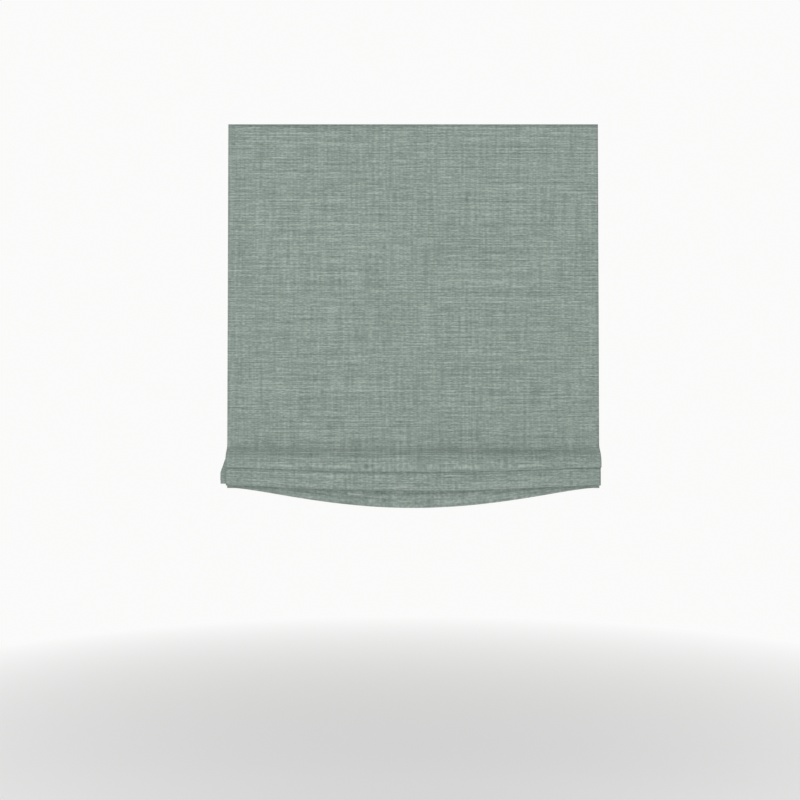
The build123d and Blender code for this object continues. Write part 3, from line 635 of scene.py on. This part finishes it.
def stitch_line(name, side, across, columns, turned_up, keep, **rows):
    """A dashed thread: every third piece of a narrow strip is left out."""
    thread = cloth_strip(name, side, across, columns, 0.0, THREAD, turned_up, keep, **rows)
    shape = bmesh.new()
    shape.from_mesh(thread.data)
    gaps = [face for face in shape.faces if face.index % STITCH_PERIOD == 0]
    bmesh.ops.delete(shape, geom=gaps, context="FACES")
    bmesh.ops.solidify(shape, geom=shape.faces[:], thickness=STITCH_WIDTH / 2)
    bmesh.ops.recalc_face_normals(shape, faces=shape.faces[:])
    # The wall's faces come in no fixed order, so they are sorted by place to be alike on every run.
    shape.verts.sort(key=lambda vert: vert.co.dot(SORT_WAY))
    shape.faces.sort(key=lambda face: face.calc_center_median().dot(SORT_WAY))
    shape.to_mesh(thread.data)
    shape.free()
    return thread


stitch_lines = []
for label, sign in (("left", -1), ("right", 1)):
    at = sign * (LINING_HALF + STITCH_INSET)
    ends = (at - STITCH_WIDTH / 2, at + STITCH_WIDTH / 2)
    stitch_lines.append(stitch_line(
        f"{label}_side_stitches", LINING_SIDE - LINING_THICKNESS / 2 - STITCH_LIFT, ends, 2, False,
        SIDE_STITCH_ROWS, panel_rows=SIDE_PANEL_ROWS))
stitch_lines.append(stitch_line(
    "hem_stitches", FACE_SIDE + FACE_THICKNESS / 2 + STITCH_LIFT, (-LINING_HALF, LINING_HALF),
    HEM_STITCH_COLUMNS, True, HEM_STITCH_ROWS, hem_rows=HEM_FINE_ROWS))
print("stitches", {o.name: len(o.data.polygons) for o in stitch_lines})

# %% [markdown]
# ## Setting the cloth in place
# On the real shade the headrail holds the cloth's top while the folds go up and down with the lift bar, so
# the panel between them has to give. Here the cloth pieces take their places into their own meshes, and the
# CAD face cloth and lining that they stand in for are hidden. Nothing ties the cloth to the lift.

# %% Cloth in place
for piece in (face_cloth, lining_cloth, *side_hems.values(), *stitch_lines):
    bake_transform(piece)
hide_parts("face_fabric")
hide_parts("lining")
lining_length = length_of(cloth_line(1, LINING_SIDE, False))[-1]

# %% [markdown]
# ## Finishes of the hardware
# Headrail and end caps are white, the brackets zinc plated, the shaft bright steel and the running
# parts natural moulded plastic. Worn or scratched finishes could be layered, but the parts are new and
# mostly hidden, so each is a plain shader with a faint unevenness where the real surface has one.


# %% Hardware finishes
def plain(name, base, roughness, metallic=0.0, grain=0.0, grain_scale=900.0, coat=0.0):
    """An even finish, with a fine grain or a coat where one is given."""
    finish = Finish(name, Base_Color=base, Roughness=roughness, Metallic=metallic)
    if coat:
        finish.set("Coat Weight", coat)
    if grain:
        place = finish.node("ShaderNodeTexCoord", output="Object")
        finish.bump(finish.noise(place, grain_scale), grain)
    return finish.material


BRUSH_CONTRAST = 0.25


def brushed(name, base, roughness, stretch):
    """Metal with fine lines; stretch squeezes the noise across them."""
    finish = Finish(name, Base_Color=base, Metallic=1.0)
    place = finish.node("ShaderNodeTexCoord", output="Object")
    x, y, z = finish.parts(place)
    lines = finish.noise(finish.vector(x * stretch[0], y * stretch[1], z * stretch[2]), 1.0) - NOISE_MEAN
    finish.set("Roughness", roughness + lines * BRUSH_CONTRAST)
    return finish.material


SLOT_FINISHES = {
    "rail_aluminium": plain("white_powder_coat", colour(226, 226, 222), 0.42, grain=0.02 * MM),
    "bar_aluminium": brushed("mill_aluminium", colour(196, 198, 200), 0.38, (6.0, 900.0, 900.0)),
    "tape": plain("touch_tape", colour(232, 232, 228), 0.95, grain=0.4 * MM, grain_scale=1400.0),
    "steel": brushed("bright_steel", colour(178, 180, 182), 0.3, (8.0, 1200.0, 1200.0)),
    "spring_steel": brushed("blue_spring_steel", colour(112, 120, 136), 0.28, (900.0, 20.0, 20.0)),
    "zinc_steel": plain("zinc_plate", colour(190, 192, 194), 0.36, metallic=1.0, grain=0.01 * MM),
    "white_plastic": plain("white_moulding", colour(228, 228, 223), 0.48),
    "gear_plastic": plain("natural_acetal", colour(218, 216, 206), 0.4),
    "clear_plastic": plain("milky_moulding", colour(222, 224, 220), 0.22, coat=0.3),
    "cord": plain("white_cord", colour(226, 226, 221), 0.8),
    "lining": IVORY_COTTON,
    "face_fabric": SAGE_LINEN,
}
for subpart in frame["record"]["subparts"]:
    mesh = frame["nodes"][subpart["node"]].data
    mesh.materials.clear()
    mesh.materials.append(SLOT_FINISHES[subpart["material_slot"]])
print("finishes on", len(frame["nodes"]), "nodes")

# %% [markdown]
# ## Rings and the threads that hold them
# Each row has two small moulded rings, one to a cord, sewn to the lining by a few turns of thread. They
# could be copied by hand. One tree that puts a shape at every point it is given is shorter, and all
# eight rows then come from the same ring and the same thread.

# %% Ring rows
THREAD_RADIUS = 0.22 * MM
THREAD_TURN = 1.55 * MM
THREAD_SPREAD = 0.5 * MM
THREAD_REACH = 0.5 * MM


def torus(name, radius, wire, around, section, turn):
    """A small ring as a mesh; turn sets its points upright or aslant, and never mirrors them."""
    points = []
    for a in range(around):
        angle = 2 * math.pi * a / around
        for b in range(section):
            tilt = 2 * math.pi * b / section
            reach = radius + wire * math.cos(tilt)
            points.append(turn(reach * math.cos(angle), reach * math.sin(angle), wire * math.sin(tilt)))
    faces = []
    for a in range(around):
        for b in range(section):
            here, there = a * section, (a + 1) % around * section
            faces.append((here + b, there + b, there + (b + 1) % section, here + (b + 1) % section))
    mesh = bpy.data.meshes.new(name)
    mesh.from_pydata(points, [], faces)
    shape = bpy.data.objects.new(name, mesh)
    scene.collection.objects.link(shape)
    return shape


def scatter_tree():
    """Puts a shape at every point of the base mesh."""
    tree = Tree("shape_at_points", Shape=("Object", None), Material=("Material", None))
    info = tree.node("GeometryNodeObjectInfo", {"transform_space": "ORIGINAL"}, {
        "Object": tree.input("Shape")}, "Geometry")
    points = tree.node("GeometryNodeMeshToPoints", sockets={"Mesh": tree.input("Geometry")})
    made = tree.node("GeometryNodeInstanceOnPoints", sockets={"Points": points, "Instance": info})
    smooth = tree.node("GeometryNodeSetShadeSmooth", sockets={
        "Geometry": tree.node("GeometryNodeRealizeInstances", sockets={"Geometry": made})})
    tree.finish(smooth, tree.input("Material"))
    return tree


SCATTER = scatter_tree()


def scatter(name, shape, places, material):
    """One piece made of a shape at each place."""
    base = bpy.data.meshes.new(name + "_points")
    base.from_pydata([tuple(place) for place in places], [], [])
    return grow(name, base, SCATTER, {"Shape": shape, "Material": material})


def lying(a, b, c):
    return a, b, c


def upright(a, b, c):
    return c, a, b


ring_shape = torus("ring_shape", RING_RADIUS, RING_WIRE, around=40, section=12, turn=lying)
thread_shape = torus("thread_shape", THREAD_TURN, THREAD_RADIUS, around=14, section=6, turn=upright)
ring_rows = {f"panel_rings_{k}": f"ring_row_{k}" for k in (1, 2, 3)}
ring_rows.update({f"stack_rings_{k}": "gathered_hem" for k in (1, 2, 3, 4, 5)})
for node, body in ring_rows.items():
    low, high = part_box(node)
    reach = RING_RADIUS + RING_WIRE
    middle = (low + high) / 2
    centres = [Vector((x, middle.y, middle.z)) for x in (low.x + reach, high.x - reach)]
    rings = scatter(node.replace("rings", "ring_row"), ring_shape, centres, SLOT_FINISHES["clear_plastic"])
    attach(rings, body)
    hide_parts(node)
    sewn = [centre + Vector((k * THREAD_SPREAD, -RING_RADIUS - THREAD_REACH, 0.0))
            for centre in centres for k in (-1, 0, 1)]
    threads = scatter(node.replace("rings", "ring_threads"), thread_shape, sewn, THREAD)
    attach(threads, body)
for shape in (ring_shape, thread_shape):
    bpy.data.objects.remove(shape)
print("ring rows", len(ring_rows))

# %% [markdown]
# ## Lift cords
# A cord lies in close turns on its spool, drops through the cradle and the rings, and ends in a knot
# under its orb. A curve with a bevel would give the same shape, but it would keep no points of its own.
# A tree draws a round section along a line instead, with many points on the straight run.

# %% Cords and knots
CORD_RADIUS = 0.45 * MM
CORD_TURN_STEPS = 24
CORD_PITCH = 1.0 * MM
CORD_TURNS = 12
CORD_RUN_STEPS = 90
CORD_SIDES = 10


def cord_tree():
    """A round section drawn along the edges of the base mesh."""
    tree = Tree("cord_along", Radius=("Float", CORD_RADIUS), Material=("Material", None))
    line = tree.node("GeometryNodeMeshToCurve", sockets={"Mesh": tree.input("Geometry")})
    ring = tree.node("GeometryNodeCurvePrimitiveCircle", sockets={
        "Resolution": CORD_SIDES, "Radius": tree.input("Radius")})
    tube = tree.node("GeometryNodeCurveToMesh", sockets={
        "Curve": line, "Profile Curve": ring, "Fill Caps": True})
    tree.finish(tree.node("GeometryNodeSetShadeSmooth", sockets={"Geometry": tube}), tree.input("Material"))
    return tree


CORD_TREE = cord_tree()


def cord_points(side):
    """The turns on the spool from the inner end, then straight down to the tail."""
    low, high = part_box(f"{side}_lift_cord")
    spool_low, spool_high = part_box(f"{side}_spool")
    sign = -1 if side == "left" else 1
    x = sign * RING_COLUMN
    centre_y = (spool_low.y + spool_high.y) / 2
    centre_z = (spool_low.z + spool_high.z) / 2
    radius = high.z - centre_z - CORD_RADIUS
    points = []
    for step in range(CORD_TURNS * CORD_TURN_STEPS + 1):
        angle = math.pi + 2 * math.pi * (step / CORD_TURN_STEPS - CORD_TURNS)
        inward = CORD_PITCH * (CORD_TURNS - step / CORD_TURN_STEPS)
        y = centre_y + radius * math.cos(angle)
        z = centre_z + radius * math.sin(angle)
        points.append((x - sign * inward, y, z))
    run = [(x, centre_y - radius, centre_z + (low.z - centre_z) * k / CORD_RUN_STEPS)
           for k in range(1, CORD_RUN_STEPS + 1)]
    return points + run


KNOT_RADIUS = 1.4 * MM
KNOT_TURN_RADIUS = KNOT_RADIUS - 0.35 * MM
KNOT_LEAN = 0.5


def leaning(a, b, c):
    return a, c + b * KNOT_LEAN, -b


for side in ("left", "right"):
    points = cord_points(side)
    line = bpy.data.meshes.new(f"{side}_cord_line")
    line.from_pydata(points, [(k, k + 1) for k in range(len(points) - 1)], [])
    cord = grow(f"{side}_cord", line, CORD_TREE, {"Radius": CORD_RADIUS, "Material": SLOT_FINISHES["cord"]})
    orb_low, orb_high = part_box(f"{side}_cord_orb")
    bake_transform(cord)
    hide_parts(f"{side}_lift_cord")
    at = Vector((points[-1][0], points[-1][1], orb_low.z - 2 * KNOT_RADIUS))
    for number, turn in enumerate((lying, leaning), start=1):
        loop = torus(f"{side}_loop", KNOT_TURN_RADIUS, CORD_RADIUS, around=20, section=CORD_SIDES,
                     turn=turn)
        knot = scatter(f"{side}_knot_{number}", loop, [at], SLOT_FINISHES["cord"])
        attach(knot, "gathered_hem")
        bpy.data.objects.remove(loop)
    print(side, "cord", round(length_of(np.array(points))[-1], 4), "m drawn")

# %% [markdown]
# ## Stitches on the bar's sleeve
# The sleeve that holds the lift bar is sewn along its top and bottom edges. This seam is straight and
# stays so, so a strip of cloth isn't needed: each stitch is a small flat bead of thread, and the rings'
# tree sets the beads out along two lines on the sleeve's back.

# %% Sleeve stitches
sleeve_low, sleeve_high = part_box("bar_sleeve")
STITCH_STEP = 5.0 * MM
STITCH_EDGE = 1.4 * MM
BEAD_RADIUS = 1.2 * MM
BEAD_WIRE = 0.25 * MM
BEAD_DEPTH_SHARE = 0.8
BEAD_HEIGHT_SHARE = 0.1


def pressed(a, b, c):
    return a, c * BEAD_DEPTH_SHARE, -b * BEAD_HEIGHT_SHARE


stitch = torus("stitch", BEAD_RADIUS, BEAD_WIRE, around=10, section=5, turn=pressed)
count = int((sleeve_high.x - sleeve_low.x) / STITCH_STEP) - 1
rows = [sleeve_low.z + STITCH_EDGE, sleeve_high.z - STITCH_EDGE]
beads = [(sleeve_low.x + STITCH_STEP * (k + 1), sleeve_high.y, z) for z in rows for k in range(count)]
sleeve_stitches = scatter("sleeve_stitches", stitch, beads, THREAD)
bpy.data.objects.remove(stitch)
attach(sleeve_stitches, "gathered_hem")
print("sleeve stitches", len(beads))

# %% [markdown]
# ## Camera, light and floor
# The shade is seen straight on and a little from below its middle, so its lower edge comes out slightly
# wider. A single hard lamp would draw a dark line under each fold. Two large soft lamps stand in front
# instead, at about the shade's own height, a third lights its back, and the floor fades into the pale
# tone of the sky.

# %% Camera
VIEW_DISTANCE = 3.0
PIXEL = 2.423 * MM
PICTURE = 800
camera_data = bpy.data.cameras.new("camera")
camera_data.sensor_width = 36.0
camera_data.lens = camera_data.sensor_width * VIEW_DISTANCE / (PICTURE * PIXEL)
camera = bpy.data.objects.new("camera", camera_data)
scene.collection.objects.link(camera)
scene.camera = camera
AIM_X = -32.0 * MM
AIM_Z = -674.0 * MM
aim = Vector((AIM_X, PANEL_Y, AIM_Z))
TILT = math.radians(1.4)
camera.location = aim + VIEW_DISTANCE * Vector((0.0, -math.cos(TILT), -math.sin(TILT)))
camera.rotation_euler = (math.radians(90) + TILT, 0.0, 0.0)
print("camera", [round(v, 3) for v in camera.location])


# %% Lamps, sky and floor
def lamp(name, place, target, size, power):
    """A soft area lamp that looks at a target."""
    data = bpy.data.lights.new(name, "AREA")
    data.shape = "RECTANGLE"
    data.size, data.size_y = size
    data.energy = power
    made = bpy.data.objects.new(name, data)
    made.location = place
    made.rotation_euler = (Vector(target) - Vector(place)).to_track_quat("-Z", "Y").to_euler()
    scene.collection.objects.link(made)


MIDDLE = (0.0, 0.0, -0.45)
lamp("key", (-1.2, -2.9, -0.45), MIDDLE, (2.4, 2.4), 32.5)
lamp("fill", (1.8, -2.7, -0.6), MIDDLE, (2.4, 2.4), 17.5)
lamp("back", (0.6, 2.6, 0.9), MIDDLE, (2.4, 1.6), 26.0)
SKY_TONE = (0.96, 0.96, 0.955, 1.0)
SKY_LIGHT = 0.6
world = bpy.data.worlds.new("studio")
scene.world = world
world.use_nodes = True
sky = Nodes(world.node_tree)
background = sky.tree.nodes["Background"]
background.inputs["Color"].default_value = SKY_TONE
seen = sky.node("ShaderNodeLightPath", output="Is Camera Ray")
for ray in ("Is Glossy Ray", "Is Transmission Ray"):
    seen = seen.math("MAXIMUM", seen, sky.node("ShaderNodeLightPath", output=ray))
plug(sky.tree, background.inputs["Strength"], seen * (1.0 - SKY_LIGHT) + SKY_LIGHT)

FLOOR_HEIGHT = -1.46
FLOOR_REACH = 30.0
FLOOR_TONE = (0.8, 0.8, 0.8, 1.0)
FADE_REACH = math.sqrt(3.0)
floor_mesh = bpy.data.meshes.new("floor")
corners = [(-FLOOR_REACH, -FLOOR_REACH), (FLOOR_REACH, -FLOOR_REACH), (FLOOR_REACH, FLOOR_REACH),
           (-FLOOR_REACH, FLOOR_REACH)]
floor_mesh.from_pydata([(x, y, FLOOR_HEIGHT) for x, y in corners], [], [(0, 1, 2, 3)])
floor = bpy.data.objects.new("floor", floor_mesh)
scene.collection.objects.link(floor)
floor_finish = Finish("pale_floor", Base_Color=FLOOR_TONE, Roughness=0.9)
glow = floor_finish.node("ShaderNodeEmission", sockets={"Color": SKY_TONE, "Strength": 1.0})
far_x, far_y, _ = floor_finish.parts(floor_finish.node("ShaderNodeTexCoord", output="Object"))
away = ((far_x * far_x + far_y * far_y) / FADE_REACH ** 2).clamped()
lit = Wire(floor_finish.tree, floor_finish.shader.outputs["BSDF"])
faded = floor_finish.node("ShaderNodeMixShader", sockets={0: away, 1: lit, 2: glow})
plug(floor_finish.tree, floor_finish.tree.nodes["Material Output"].inputs["Surface"], faded)
floor_mesh.materials.append(floor_finish.material)
print("stage ready")
